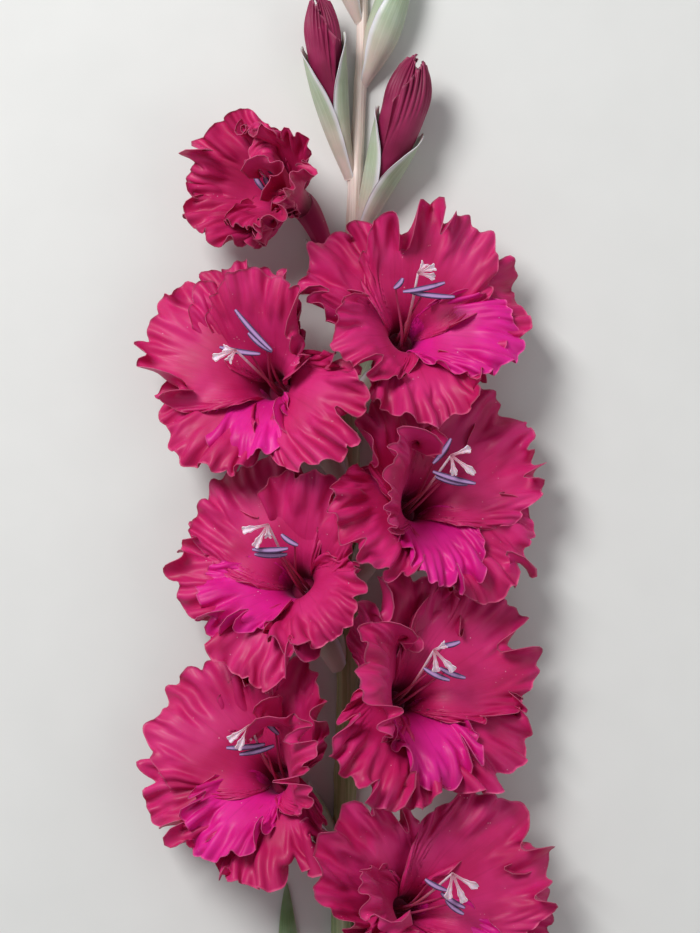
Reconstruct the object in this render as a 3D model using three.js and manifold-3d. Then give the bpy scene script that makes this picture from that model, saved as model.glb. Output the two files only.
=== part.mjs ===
// A cut spike of gladiolus, laid on its back on a flat surface with its florets facing up.
// Millimetres, +Z up. The stem lies along +Y, from its cut end to the tip of the last bud, with +X on the right.
//
// The stem carries two ranks of florets, which alternate right and left. A floret is one perianth of six tepals
// grown together into a curved tube, three stamens, a style with three stigma arms, and a spathe of two bracts
// that sheathes the tube. Above the florets come opening buds and closed buds, and below them two leaves.
import * as THREE from "three";
import { LoftGeometry } from "three/addons/geometries/LoftGeometry.js";
import { mergeVertices } from "three/addons/utils/BufferGeometryUtils.js";
import Module from "manifold-3d";

const wasm = await Module();
wasm.setup();
const { Vector3 } = THREE;

// ---- Driving dimensions ----

const CLEARANCE = 0.3; // between two pieces that touch
const WELD = 1e-4; // corners closer than this are one corner
const SLIVER = 0.05; // a cut leaves no detail finer than this
const REST_HEIGHT = 1.0; // below this height a soft edge lies along the surface

const STEM = {
  length: 742, // from the cut end to the base of the last bud
  cutRadius: 6.0,
  tipRadius: 1.6,
  taper: 2.5, // the power with which the stem thins towards its tip
  sides: 10,
  steps: 16,
};
// How far the stem sways to the right at each share of its length.
const STEM_SWAY = [
  [0, -5],
  [0.27, -4],
  [0.45, -1],
  [0.58, 0],
  [0.74, 1],
  [0.86, 6],
  [1, 8],
];

const TUBE = { nodeRadius: 2.8, throatRadius: 7.2, straight: 10, steps: 3 };
const THROAT_DEPTH = 13; // from the mouth of the throat down to its floor
const TEPAL = { thickness: 1.0, upright: 12, cleft: 0.38, across: 4, along: 5 };
const FILAMENT = { radius: 0.75, spread: 2.9, length: 36, arch: 14, sides: 4, steps: 4 };
const ANTHER = { length: 13, radius: 1.5, fan: 7.5 };
const STYLE = { radius: 0.75, length: 42, arch: 20 };
const STIGMA = { arms: 3, length: 8, radius: 1.1, spread: 5 };
const SPATHE = { thickness: 1.0, gap: 0.8, length: 52, notch: 0.45, belly: 3.6, sides: 8, steps: 3 };
const BUD = { foot: 2.4, sides: 8, steps: 6 };
const LEAF = { thickness: 1.0, wrap: 50, flattening: 0.12, rise: 7, across: 4, along: 22 };
const BLADE_EDGE = 0.5; // how thick a blade's edge is, as a share of its middle

// The six tepals, by the clock angle of their middle on a right-hand floret, in degrees from the right. Three stand
// in front of the other three, which they alternate with. flare is the angle from the floret's axis that a tepal
// opens to, and recurve is how much further its tip bends back.
const TEPALS = [
  { angle: 28, length: 72, flare: 76, recurve: 14 },
  { angle: 90, length: 70, flare: 68, recurve: 8 },
  { angle: 152, length: 68, flare: 46, recurve: 30 },
  { angle: 210, length: 70, flare: 80, recurve: 18 },
  { angle: 270, length: 56, flare: 62, recurve: 50 },
  { angle: 330, length: 72, flare: 84, recurve: 26 },
];

// The florets, from the lowest up. node is where the tube leaves the stem, measured from the cut end, and throat is
// the bottom of the funnel. yaw turns the face away from the stem, tilt turns it towards the tip, turn rolls the
// tepals round the floret's axis, and open is 1 for a floret that is fully out.
const FLORETS = [
  { name: "floret_1", side: 1, node: 165, throat: [29, 204, 29], yaw: 22, tilt: 12, turn: 0, size: 1.14, open: 1 },
  { name: "floret_2", side: -1, node: 222, throat: [-38, 271, 28], yaw: 20, tilt: 17, turn: 0, size: 1.04, open: 1 },
  { name: "floret_3", side: 1, node: 270, throat: [27, 312, 28], yaw: 24, tilt: 17, turn: 0, size: 1.06, open: 1 },
  { name: "floret_4", side: -1, node: 325, throat: [-27, 371, 28], yaw: 18, tilt: 20, turn: 14, size: 0.98, open: 1 },
  { name: "floret_5", side: 1, node: 370, throat: [32, 410, 28], yaw: 24, tilt: 18, turn: 0, size: 1.04, open: 1 },
  { name: "floret_6", side: -1, node: 422, throat: [-40, 472, 28], yaw: 22, tilt: 15, turn: 0, size: 1.03, open: 1 },
  { name: "floret_7", side: 1, node: 462, throat: [28, 497, 29], yaw: 12, tilt: 20, turn: 48, size: 1.0, open: 1 },
  { name: "floret_8", side: -1, node: 512, throat: [-33, 568, 26], yaw: 38, tilt: 14, turn: 0, size: 0.8, open: 0.45 },
];

// The buds, from the lowest up: where each leaves the stem, where its tip is, and its greatest width. show is the
// length of petal that stands out of the spathe, and a bud with none is still closed.
const BUDS = [
  { name: "bud_1", side: 1, node: 548, tip: [34, 641, 24], width: 23, show: 50 },
  { name: "bud_2", side: -1, node: 580, tip: [-17, 674, 20], width: 19, show: 36 },
  { name: "bud_3", side: 1, node: 628, tip: [27, 696, 15], width: 17, show: 0 },
  { name: "bud_4", side: -1, node: 661, tip: [-8, 718, 11], width: 13.5, show: 0 },
  { name: "bud_5", side: 1, node: 690, tip: [19, 737, 9], width: 10.5, show: 0 },
  { name: "bud_6", side: -1, node: 713, tip: [1, 754, 7], width: 8.5, show: 0 },
  { name: "bud_7", side: 1, node: 732, tip: [12, 772, 6], width: 7, show: 0 },
];

// The leaves: where the blade leaves the stem, its tip, and its width.
const LEAVES = [
  { name: "leaf_left", side: -1, start: 14, tip: [-33, 214], width: 19 },
  { name: "leaf_right", side: 1, start: 48, tip: [46, 150], width: 15 },
];

const COLOURS = {
  stem: { color: 0xb9c08a, roughness: 0.6 },
  leaf: { color: 0x7d9a62, roughness: 0.55 },
  spathe: { color: 0xa9bb92, roughness: 0.55 },
  petal: { color: 0xb81c5a, roughness: 0.6 },
  bud_petal: { color: 0x7d1440, roughness: 0.6 },
  anther: { color: 0x4a3a78, roughness: 0.5 },
  style: { color: 0xf1c9dc, roughness: 0.5 },
};

// ---- Numbers and curves ----

const radians = THREE.MathUtils.degToRad;
const { lerp, smoothstep, clamp } = THREE.MathUtils;
const shares = (count) => Array.from({ length: count + 1 }, (_, i) => i / count);

// A soft edge that would pass through the surface lies just above it instead, its upper skin over its lower one.
function settle(point, height = 0) {
  const floor = REST_HEIGHT + height;
  if (point.z < floor) point.z = lerp(floor - REST_HEIGHT / 2, floor, Math.exp((point.z - floor) / REST_HEIGHT));
  return point;
}

function stemRadius(fromCut) {
  const share = clamp(fromCut / STEM.length, 0, 1);
  return lerp(STEM.cutRadius, STEM.tipRadius, share ** STEM.taper);
}

// The stem's centreline, which lies as high as the stem is thick.
const stemLine = new THREE.CatmullRomCurve3(
  STEM_SWAY.map(([share, x]) => new Vector3(x, share * STEM.length, stemRadius(share * STEM.length))),
);

// The stem's centre at a distance from the cut end.
function stemCentre(fromCut) {
  let [low, high] = [0, 1];
  for (let i = 0; i < 24; i++) {
    const middle = (low + high) / 2;
    if (stemLine.getPoint(middle).y < fromCut) low = middle;
    else high = middle;
  }
  return stemLine.getPoint((low + high) / 2);
}

// ---- Solids ----

// A section shrunk to its middle, which closes the end of a loft.
function closing(section) {
  const middle = section.reduce((sum, point) => sum.add(point), new Vector3()).divideScalar(section.length);
  return section.map(() => middle);
}

// One closed solid from a row of sections, with its faces pointing out.
function loft(sections) {
  const lofted = new LoftGeometry(sections);
  const skin = new THREE.BufferGeometry();
  skin.setAttribute("position", lofted.attributes.position);
  skin.setIndex(lofted.index);
  const welded = mergeVertices(skin, WELD);
  const corners = welded.index.array;
  const at = (i) => new Vector3().fromBufferAttribute(welded.attributes.position, i);
  const faces = [];
  let volume = 0;
  for (let i = 0; i < corners.length; i += 3) {
    const [a, b, c] = corners.slice(i, i + 3);
    if (a === b || b === c || c === a) continue;
    faces.push([a, b, c]);
    volume += at(a).dot(at(b).cross(at(c)));
  }
  const outwards = volume < 0 ? faces.map(([a, b, c]) => [a, c, b]) : faces;
  return new wasm.Manifold(
    new wasm.Mesh({
      numProp: 3,
      vertProperties: welded.attributes.position.array,
      triVerts: new Uint32Array(outwards.flat()),
    }),
  );
}

const union = (solids) => solids.reduce((all, one) => all.add(one));

// The body with the most volume, where a cut has left crumbs beside it.
function largest(solid) {
  return solid.decompose().reduce((most, one) => (one.volume() > most.volume() ? one : most));
}

// A frame at a share of a curve: its tangent, the direction out from the stem, and the one across both.
function frameAt(curve, share, side) {
  const along = curve.getTangentAt(share);
  const out = new Vector3(side, 0, 0).addScaledVector(along, -side * along.x).normalize();
  return { centre: curve.getPointAt(share), along, out, across: along.clone().cross(out) };
}

// A ring of points round a curve. radius may differ with the angle, which starts at the side away from the stem.
function ring(frame, radius, sides) {
  return Array.from({ length: sides }, (_, i) => {
    const angle = (i / sides) * 2 * Math.PI;
    const reach = typeof radius === "function" ? radius(angle) : radius;
    return frame.centre
      .clone()
      .addScaledVector(frame.out, reach * Math.cos(angle))
      .addScaledVector(frame.across, reach * Math.sin(angle));
  });
}

// A solid rod along a curve, whose radius is a function of the share of its length.
function rod(curve, radiusAt, sides, steps, side = 1) {
  const sections = shares(steps).map((share) => ring(frameAt(curve, share, side), radiusAt(share), sides));
  return loft([closing(sections[0]), ...sections, closing(sections[steps])]);
}

// How full a blade is at one of its rows: nothing at the first and last of them.
const bulge = (i, count) => (i % count ? Math.sin((Math.PI * i) / count) ** 0.4 : 0);

// A thin blade. middleAt(share along, distance across) places a point of its middle surface, and halfWidthAt gives
// its half width. It thins to nothing at its two ends and to half along its edges, and a grown copy stands out past
// them by grow.
function blade(middleAt, halfWidthAt, { thickness, across, along }, grow) {
  const middle = shares(along).map((row) => {
    const share = 1 - (1 - row) ** 1.5; // closer together towards the tip
    const half = halfWidthAt(share) + grow;
    return shares(across).map((column) => settle(middleAt(share, half * (2 * column - 1))));
  });
  const face = (sign) =>
    middle.map((points, i) => {
      const [before, after] = [middle[Math.max(i - 1, 0)], middle[Math.min(i + 1, along)]];
      return points.map((point, j) => {
        const lengthways = after[j].clone().sub(before[j]);
        const sideways = points[Math.min(j + 1, across)].clone().sub(points[Math.max(j - 1, 0)]);
        const normal = lengthways.cross(sideways).normalize();
        const full = bulge(i, along) * (j % across ? 1 : BLADE_EDGE);
        return point.clone().addScaledVector(normal, sign * (thickness / 2 + grow) * full);
      });
    });
  const [front, back] = [face(1), face(-1)];
  return loft(front.map((points, i) => [...points, ...back[i].reverse()]));
}

// ---- The stem and its leaves ----

function stem(grow) {
  return rod(stemLine, (share) => stemRadius(share * STEM.length) + grow, STEM.sides, STEM.steps);
}

// A leaf hugs the stem at its base. Its blade then leaves the stem, turns flat and lies along the surface.
function leaf({ side, start, tip, width }, grow) {
  const hug = stemRadius(start) + 2 * CLEARANCE + LEAF.thickness / 2;
  const foot = stemCentre(start).x + side * hug;
  const line = new THREE.CubicBezierCurve3(
    new Vector3(foot, start, STEM.cutRadius),
    new Vector3(foot + side, lerp(start, tip[1], 0.25), STEM.cutRadius + LEAF.rise),
    new Vector3(tip[0], lerp(start, tip[1], 0.6), LEAF.rise),
    new Vector3(tip[0], tip[1], LEAF.thickness / 2),
  );
  const middleAt = (share, offset) => {
    const { centre, along, out, across } = frameAt(line, clamp(share, 0, 1), side);
    const radius = hug / lerp(1, LEAF.flattening, smoothstep(share, 0, 0.5));
    const twist = radians(90) * smoothstep(share, 0.1, 0.9);
    return centre
      .addScaledVector(out.applyAxisAngle(along, twist), radius * (Math.cos(offset / radius) - 1))
      .addScaledVector(across.applyAxisAngle(along, twist), radius * Math.sin(offset / radius));
  };
  const wrapped = radians(LEAF.wrap) * hug;
  const halfWidthAt = (share) => lerp(wrapped, width / 2, smoothstep(share, 0, 0.4)) * (1 - share ** 4) ** 0.8;
  return blade(middleAt, halfWidthAt, LEAF, grow);
}

// ---- A floret ----

// The floret's own frame: x to the right and y up across its face, and z out along its axis from the throat.
function floretFrame({ side, throat, yaw, tilt }) {
  const [turned, raised] = [radians(yaw) * side, radians(tilt)];
  const z = new Vector3(
    Math.sin(turned) * Math.cos(raised),
    Math.sin(raised),
    Math.cos(turned) * Math.cos(raised),
  );
  const y = new Vector3(0, 1, 0).addScaledVector(z, -z.y).normalize();
  return new THREE.Matrix4().makeBasis(y.clone().cross(z), y, z).setPosition(...throat);
}

const place = (frame, x, y, z) => new Vector3(x, y, z).applyMatrix4(frame);

// The tube's centreline, from the node on the stem up to the floor of the throat.
function tubeLine(floret) {
  const frame = floretFrame(floret);
  const root = stemCentre(floret.node).add(new Vector3(floret.side * stemRadius(floret.node) * 0.5, 0, 0));
  const end = place(frame, 0, 0, -THROAT_DEPTH);
  const leaving = new Vector3(floret.side * 0.35, 1, 0.1).setLength(end.distanceTo(root) * 0.5);
  const arriving = place(frame, 0, 0, -THROAT_DEPTH - TUBE.straight);
  return new THREE.CubicBezierCurve3(root, root.clone().add(leaving), arriving, end);
}

const tubeRadius = (share) => lerp(TUBE.nodeRadius, TUBE.throatRadius, share ** 1.6);

// The tepals as rays out from the throat. Each ray runs from the ring round the throat's floor to the margin, and
// is as long and as bent as the tepal it lies on. It is short in the cleft between two tepals.
function tepalRays({ side, turn, size, open }) {
  const rays = [];
  TEPALS.forEach((tepal, k) => {
    const next = TEPALS[(k + 1) % TEPALS.length];
    const step = (next.angle - tepal.angle + 360) % 360;
    for (let i = 0; i < TEPAL.across; i++) {
      const share = i / TEPAL.across;
      const blend = (key) => lerp(tepal[key], next[key], smoothstep(share, 0.2, 0.8));
      const angle = tepal.angle + step * share + turn;
      rays.push({
        angle: radians(side > 0 ? angle : 180 - angle),
        length: blend("length") * size * (1 - TEPAL.cleft * Math.sin(Math.PI * share) ** 3),
        flare: radians(blend("flare")) * open,
        recurve: radians(blend("recurve")) * open,
      });
    }
  });
  return rays;
}

// The rows of one skin of the tepals, at a height off their middle, from the throat's floor to the margins.
function tepalRows(floret, height, grow) {
  const frame = floretFrame(floret);
  const bits = 40;
  const rays = tepalRays(floret).map(({ angle, length, flare, recurve }) => {
    const bend = (share) =>
      lerp(radians(TEPAL.upright), flare, smoothstep(share, 0.02, 0.62)) + recurve * smoothstep(share, 0.6, 1);
    let [out, up] = [TUBE.throatRadius - TEPAL.thickness / 2, -THROAT_DEPTH];
    const points = [];
    for (let i = 0; i <= bits; i++) {
      const lean = bend(i / bits);
      const [outside, above] = [out - height * Math.cos(lean), up + height * Math.sin(lean)];
      points.push(place(frame, outside * Math.cos(angle), outside * Math.sin(angle), above));
      out += (Math.sin(lean) * (length + grow)) / bits;
      up += (Math.cos(lean) * (length + grow)) / bits;
    }
    return points;
  });
  return shares(TEPAL.along).map((share) => rays.map((points) => settle(points[Math.round(share * bits)], height)));
}

// The perianth is one loft: up the outside of the tube and the funnel to the margins of the tepals, and back down
// the inside to the floor of the throat.
function perianth(floret, grow) {
  const frame = floretFrame(floret);
  const line = tubeLine(floret);
  const [right, up, axis] = [new Vector3(), new Vector3(), new Vector3()];
  frame.extractBasis(right, up, axis);
  const tube = shares(TUBE.steps).slice(0, -1).map((share) => {
    const along = line.getTangentAt(share);
    const out = right.clone().addScaledVector(along, -right.dot(along)).normalize();
    const across = along.clone().cross(out);
    const radius = tubeRadius(share) + grow;
    return tepalRays(floret).map(({ angle }) =>
      line
        .getPointAt(share)
        .addScaledVector(out, radius * Math.cos(angle))
        .addScaledVector(across, radius * Math.sin(angle)),
    );
  });
  const half = TEPAL.thickness / 2 + grow;
  const outside = tepalRows(floret, -half, grow);
  const inside = tepalRows(floret, half, grow).reverse();
  return loft([closing(tube[0]), ...tube, ...outside, ...inside, closing(inside.at(-1))]);
}

// A stamen or a style leaves the bottom of the throat and arches towards the upper, outer side of the floret.
function reachLine(floret, foot, length, arch, sideways) {
  const frame = floretFrame(floret);
  const towards = floret.side > 0 ? radians(62) : radians(118);
  const across = towards - Math.PI / 2;
  const point = (out, off, up) =>
    place(
      frame,
      foot[0] + out * Math.cos(towards) + off * Math.cos(across),
      foot[1] + out * Math.sin(towards) + off * Math.sin(across),
      up,
    );
  const start = CLEARANCE - THROAT_DEPTH;
  const reach = length * lerp(0.6, 1, floret.open) * floret.size;
  return new THREE.CubicBezierCurve3(
    point(0, 0, start),
    point(0, 0, start + reach * 0.4),
    point(arch * 0.4, sideways * 0.5, start + reach * 0.75),
    point(arch, sideways, start + reach),
  );
}

function stamen(floret, number, grow) {
  const around = radians(90 + 120 * number) * floret.side;
  const foot = [FILAMENT.spread * Math.cos(around), FILAMENT.spread * Math.sin(around)];
  const sideways = (number - 1) * ANTHER.fan * floret.size;
  const line = reachLine(floret, foot, FILAMENT.length, FILAMENT.arch - 4 * (number === 1), sideways);
  const filament = rod(line, () => FILAMENT.radius + grow, FILAMENT.sides, FILAMENT.steps);
  const half = line.getTangentAt(1).multiplyScalar(ANTHER.length / 2);
  const middle = line.getPointAt(1);
  const antherLine = new THREE.LineCurve3(middle.clone().sub(half), middle.clone().add(half));
  const swell = (share) => ANTHER.radius * Math.sin(Math.PI * lerp(0.12, 0.88, share)) ** 0.6 + grow;
  return filament.add(rod(antherLine, swell, FILAMENT.sides + 1, 3));
}

function style(floret, grow) {
  const line = reachLine(floret, [0, 0], STYLE.length, STYLE.arch, 0);
  const shaft = rod(line, () => STYLE.radius + grow, FILAMENT.sides, FILAMENT.steps);
  const end = line.getPointAt(1);
  const { along, out, across } = frameAt(line, 1, floret.side);
  const arms = shares(STIGMA.arms - 1).map((share) => {
    const fan = (share - 0.5) * 2 * STIGMA.spread;
    const tip = end
      .clone()
      .addScaledVector(along, STIGMA.length)
      .addScaledVector(across, fan)
      .addScaledVector(out, (0.5 - Math.abs(share - 0.5)) * STIGMA.spread);
    const arm = new THREE.LineCurve3(end.clone().addScaledVector(along, -1), tip);
    return rod(arm, (s) => lerp(STYLE.radius, STIGMA.radius, s) + grow, FILAMENT.sides, 1);
  });
  return union([shaft, ...arms]);
}

// Two bracts, joined round the foot of the tube or bud and open above it: a sleeve with two pointed tips.
function spathe(line, side, length, innerAt, grow) {
  const reachAt = (angle) => length * lerp(SPATHE.notch, 1, Math.abs(Math.cos(angle)) ** 1.5);
  const surface = (extra, rows) =>
    rows.map((row) => {
      const points = [];
      for (let i = 0; i < SPATHE.sides; i++) {
        const angle = (i / SPATHE.sides) * 2 * Math.PI;
        const distance = row * reachAt(angle);
        const share = clamp(distance / line.getLength(), 0, 1);
        const { centre, along, out, across } = frameAt(line, share, side);
        const past = Math.max(0, distance - line.getLength());
        const radius = innerAt(share) + SPATHE.belly * Math.sin(Math.PI * row ** 0.8) + extra;
        points.push(
          settle(
            centre
              .addScaledVector(along, past)
              .addScaledVector(out, radius * Math.cos(angle))
              .addScaledVector(across, radius * Math.sin(angle)),
          ),
        );
      }
      return points;
    });
  const rows = shares(SPATHE.steps).map((share) => 0.04 + 0.96 * share);
  const inside = surface(SPATHE.gap - grow, rows);
  const outside = surface(SPATHE.gap + SPATHE.thickness + grow, [...rows].reverse());
  return loft([...inside, ...outside, inside[0]]);
}

function floretSpathe(floret, grow) {
  const line = tubeLine(floret);
  const length = Math.min(SPATHE.length * floret.size, line.getLength() * 0.98);
  return spathe(line, floret.side, length, tubeRadius, grow);
}

// ---- A bud ----

function budLine({ side, node, tip }) {
  const root = stemCentre(node).add(new Vector3(side * stemRadius(node) * 0.5, 0, 0));
  root.z = Math.max(root.z, BUD.foot + CLEARANCE);
  const end = new Vector3(...tip);
  const reach = root.distanceTo(end);
  return new THREE.CubicBezierCurve3(
    root,
    root.clone().add(new Vector3(side * 0.12 * reach, 0.33 * reach, 0.1 * reach)),
    end.clone().sub(new Vector3(side * 0.05 * reach, 0.33 * reach, 0.01 * reach)),
    end,
  );
}

// How wide a bud is along its length: slim at its foot, fullest above the middle, blunt at its tip.
function budRadius(bud, share) {
  const fullest = bud.show ? 0.78 : 0.45;
  const full = bud.width / 2;
  if (share < fullest) return lerp(BUD.foot, full, Math.sin((Math.PI / 2) * (share / fullest)) ** 1.3);
  return full * Math.sqrt(Math.max(0.02, 1 - ((share - fullest) / (1 - fullest)) ** 2 * 0.98));
}

function budBody(bud, grow) {
  const slim = bud.show ? SPATHE.thickness + SPATHE.gap : 0;
  const radiusAt = (share) => Math.max(budRadius(bud, share) - slim, 0.8) + grow;
  return rod(budLine(bud), radiusAt, BUD.sides, BUD.steps, bud.side);
}

function budSpathe(bud, grow) {
  const line = budLine(bud);
  const inner = (share) => Math.max(budRadius(bud, Math.min(share, 0.7)) - SPATHE.belly * 0.5 - 1, 1.4);
  const length = line.getLength() - bud.show * 0.55;
  return spathe(line, bud.side, length, inner, grow);
}

// ---- Putting it together ----

// Every piece, in the order in which they are cut: each keeps clear of the ones before it.
const pieces = [{ name: "stem", look: "stem", make: stem }];
for (const floret of FLORETS) {
  ["a", "b", "c"].forEach((letter, number) => {
    const make = (grow) => stamen(floret, number, grow);
    pieces.push({ name: `${floret.name}_stamen_${letter}`, look: "anther", group: floret.name, make });
  });
  pieces.push({ name: `${floret.name}_style`, look: "style", group: floret.name, make: (g) => style(floret, g) });
}
for (const bud of BUDS) {
  const look = bud.show ? "bud_petal" : "spathe";
  const name = bud.show ? `${bud.name}_petals` : bud.name;
  pieces.push({ name, look, group: bud.name, make: (grow) => budBody(bud, grow) });
}
for (const floret of FLORETS) {
  const make = (grow) => perianth(floret, grow);
  pieces.push({ name: `${floret.name}_perianth`, look: "petal", group: floret.name, make });
}
for (const bud of BUDS.filter(({ show }) => show)) {
  const make = (grow) => budSpathe(bud, grow);
  pieces.push({ name: `${bud.name}_spathe`, look: "spathe", group: bud.name, make });
}
for (const floret of FLORETS) {
  const make = (grow) => floretSpathe(floret, grow);
  pieces.push({ name: `${floret.name}_spathe`, look: "spathe", group: floret.name, make });
}
for (const one of LEAVES) {
  pieces.push({ name: one.name, look: "leaf", make: (grow) => leaf(one, grow) });
}

function boxesMeet(a, b) {
  return [0, 1, 2].every((k) => a.min[k] < b.max[k] && b.min[k] < a.max[k]);
}

function geometryOf(solid) {
  const { vertProperties, triVerts } = solid.getMesh();
  const geometry = new THREE.BufferGeometry();
  geometry.setAttribute("position", new THREE.BufferAttribute(vertProperties, 3));
  geometry.setIndex(new THREE.BufferAttribute(triVerts, 1));
  geometry.computeVertexNormals();
  return geometry;
}

const spike = new THREE.Group();
const groups = {};
const cutters = [];
for (const { name, look, group, make } of pieces) {
  let solid = make(0);
  for (const cutter of cutters) {
    if (boxesMeet(solid.boundingBox(), cutter.boundingBox())) solid = solid.subtract(cutter);
  }
  cutters.push(make(CLEARANCE));
  const mesh = new THREE.Mesh(geometryOf(largest(solid).simplify(SLIVER)), new THREE.MeshStandardMaterial(COLOURS[look]));
  mesh.name = name;
  if (group && !groups[group]) {
    groups[group] = new THREE.Group();
    spike.add(groups[group]);
  }
  (groups[group] ?? spike).add(mesh);
}

// The origin is the middle of the footprint, on the surface that the spike lies on.
const box = new THREE.Box3().setFromObject(spike);
spike.position.set(-(box.min.x + box.max.x) / 2, -(box.min.y + box.max.y) / 2, -box.min.z);
export default spike;
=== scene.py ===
"""A cut spike of gladiolus, lying on a pale floor and seen from above.

Shapes are worked out in millimetres in the spike's own layout: x to the right of the stem's foot, y from
the cut end of the stem towards its tip, z up from the floor. row() turns them into the frame's metres.
"""

import math
from types import SimpleNamespace

import bpy
import numpy as np
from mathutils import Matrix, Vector


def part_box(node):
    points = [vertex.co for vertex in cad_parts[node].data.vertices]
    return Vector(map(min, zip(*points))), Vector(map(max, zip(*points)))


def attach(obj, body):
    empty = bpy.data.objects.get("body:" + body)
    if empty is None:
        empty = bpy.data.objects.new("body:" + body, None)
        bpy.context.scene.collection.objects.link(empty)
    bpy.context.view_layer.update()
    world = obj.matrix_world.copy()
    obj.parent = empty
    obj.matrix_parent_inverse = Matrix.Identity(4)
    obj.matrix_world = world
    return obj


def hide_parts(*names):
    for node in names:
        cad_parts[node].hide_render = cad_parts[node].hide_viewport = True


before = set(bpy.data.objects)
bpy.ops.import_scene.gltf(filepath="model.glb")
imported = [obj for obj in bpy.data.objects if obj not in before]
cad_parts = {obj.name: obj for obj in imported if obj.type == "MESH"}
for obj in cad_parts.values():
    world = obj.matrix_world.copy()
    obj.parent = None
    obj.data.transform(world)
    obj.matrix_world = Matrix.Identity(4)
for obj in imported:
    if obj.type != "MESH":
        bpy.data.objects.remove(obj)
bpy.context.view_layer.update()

# ---- Sizes and places, in millimetres and degrees ----


def table(keys, rows):
    """One dictionary for each row, with the same keys."""
    return [dict(zip(keys.split(), row)) for row in rows]


MM = 0.001
ANY_PHASE = 7.0  # a wave may start anywhere within its turn
STEM_FOOT_LEFT = -11.0  # the left side of the stem's cut end, in the layout
CAMERA = SimpleNamespace(y=430, height=1355, lens=100.3)

STEM = SimpleNamespace(length=742, cut_radius=6.0, tip_radius=1.6, taper=2.5, sides=36, rings=420)
# The stem's sway: (share of its length, x).
STEM_SWAY = [(0, -5), (0.27, -4), (0.45, -1), (0.58, 0), (0.74, 1), (0.86, 6), (1, 8)]

TUBE = SimpleNamespace(node_radius=2.8, throat_radius=7.2, straight=10)
THROAT_DEPTH = 13
CLAW = 6.2  # half the width of a tepal where it joins the tube
UPRIGHT = 12  # the angle from the floret's axis at which a tepal leaves the tube
PETAL = SimpleNamespace(columns=160, rows=44, thick=0.9, thin=0.3, rest=0.7, nod=80)

# The six tepals of a right-hand floret. angle is the clock angle of the middle, from the right; flare is
# how far it opens from the floret's axis, and recurve how much further its tip bends back; cup is how
# sharply it is rounded across; lift stands it in front of its neighbours. waves, folds and crimps scale the
# ruffles below, and curls are places where the margin rolls over: (place along it, spread, angle, depth).
TEPALS = {
    "right": dict(
        angle=30, length=75, width=70, flare=72, recurve=14, cup=0.005, lift=1.6,
        waves=0.7, folds=0.3, crimps=0.7,
    ),
    "top": dict(
        angle=95, length=68, width=58, flare=64, recurve=10, cup=0.010, lift=-1.6,
        waves=1, folds=0.7, crimps=1,
    ),
    "left": dict(
        angle=165, length=68, width=58, flare=30, recurve=44, cup=0.006, lift=1.6,
        waves=1, folds=0.6, crimps=1.2,
    ),
    "low_left": dict(
        angle=230, length=72, width=58, flare=76, recurve=18, cup=0.004, lift=-1.6,
        waves=0.8, folds=1.2, crimps=0.8,
    ),
    "lip": dict(
        angle=280, length=58, width=44, flare=64, recurve=40, cup=0.016, lift=2.2,
        waves=0.6, folds=1.0, crimps=0.8,
    ),
    "low_right": dict(
        angle=324, length=73, width=60, flare=78, recurve=20, cup=0.004, lift=-1.6,
        waves=0.8, folds=1.1, crimps=0.8,
    ),
}

# Ruffles along a margin: length of a wave, its height, the share by which it makes the margin longer, and
# how steeply it grows from the foot to the margin.
RUFFLES = {
    "waves": dict(wave=42, height=5.5, excess=0.14, power=1.6),
    "folds": dict(wave=17, height=4.2, excess=0.6, power=2.0),
    "crimps": dict(wave=8, height=1.6, excess=0.28, power=6.0),
}
GROWTH = SimpleNamespace(
    steps=130,
    stiffness=0.018,  # of bending
    spring=0.2,  # along the rows and columns
    brace=0.06,  # along the diagonals
    hold=(0.25, 0.0015),  # the pull back to the ungrown shape, at the foot and at the margin
)
# The margins droop a little, and roll over at up to three random places each.
CURLS = SimpleNamespace(
    droop=-14, most=3, where=(0.12, 0.88), spread=(0.012, 0.03), angle=(90, 190), depth=(0.12, 0.22)
)
# How the margin steps in and out: over what distance, and by what share.
LOBES = [(31, 0.04), (13, 0.012)]

FLORETS = table(
    "name side node throat yaw tilt size opened",
    [
        ("floret_1", 1, 165, (29, 204, 29), 22, 12, 1.14, 1),
        ("floret_2", -1, 222, (-38, 271, 28), 20, 17, 1.04, 1),
        ("floret_3", 1, 270, (27, 312, 28), 24, 17, 1.06, 1),
        ("floret_4", -1, 325, (-27, 371, 28), 18, 20, 0.98, 1),
        ("floret_5", 1, 370, (32, 410, 28), 24, 18, 1.04, 1),
        ("floret_6", -1, 422, (-40, 472, 28), 22, 15, 1.03, 1),
        ("floret_7", 1, 462, (28, 497, 29), 12, 20, 1.0, 1),
        ("floret_8", -1, 512, (-33, 568, 26), 38, 14, 0.8, 0.45),
    ],
)

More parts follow.
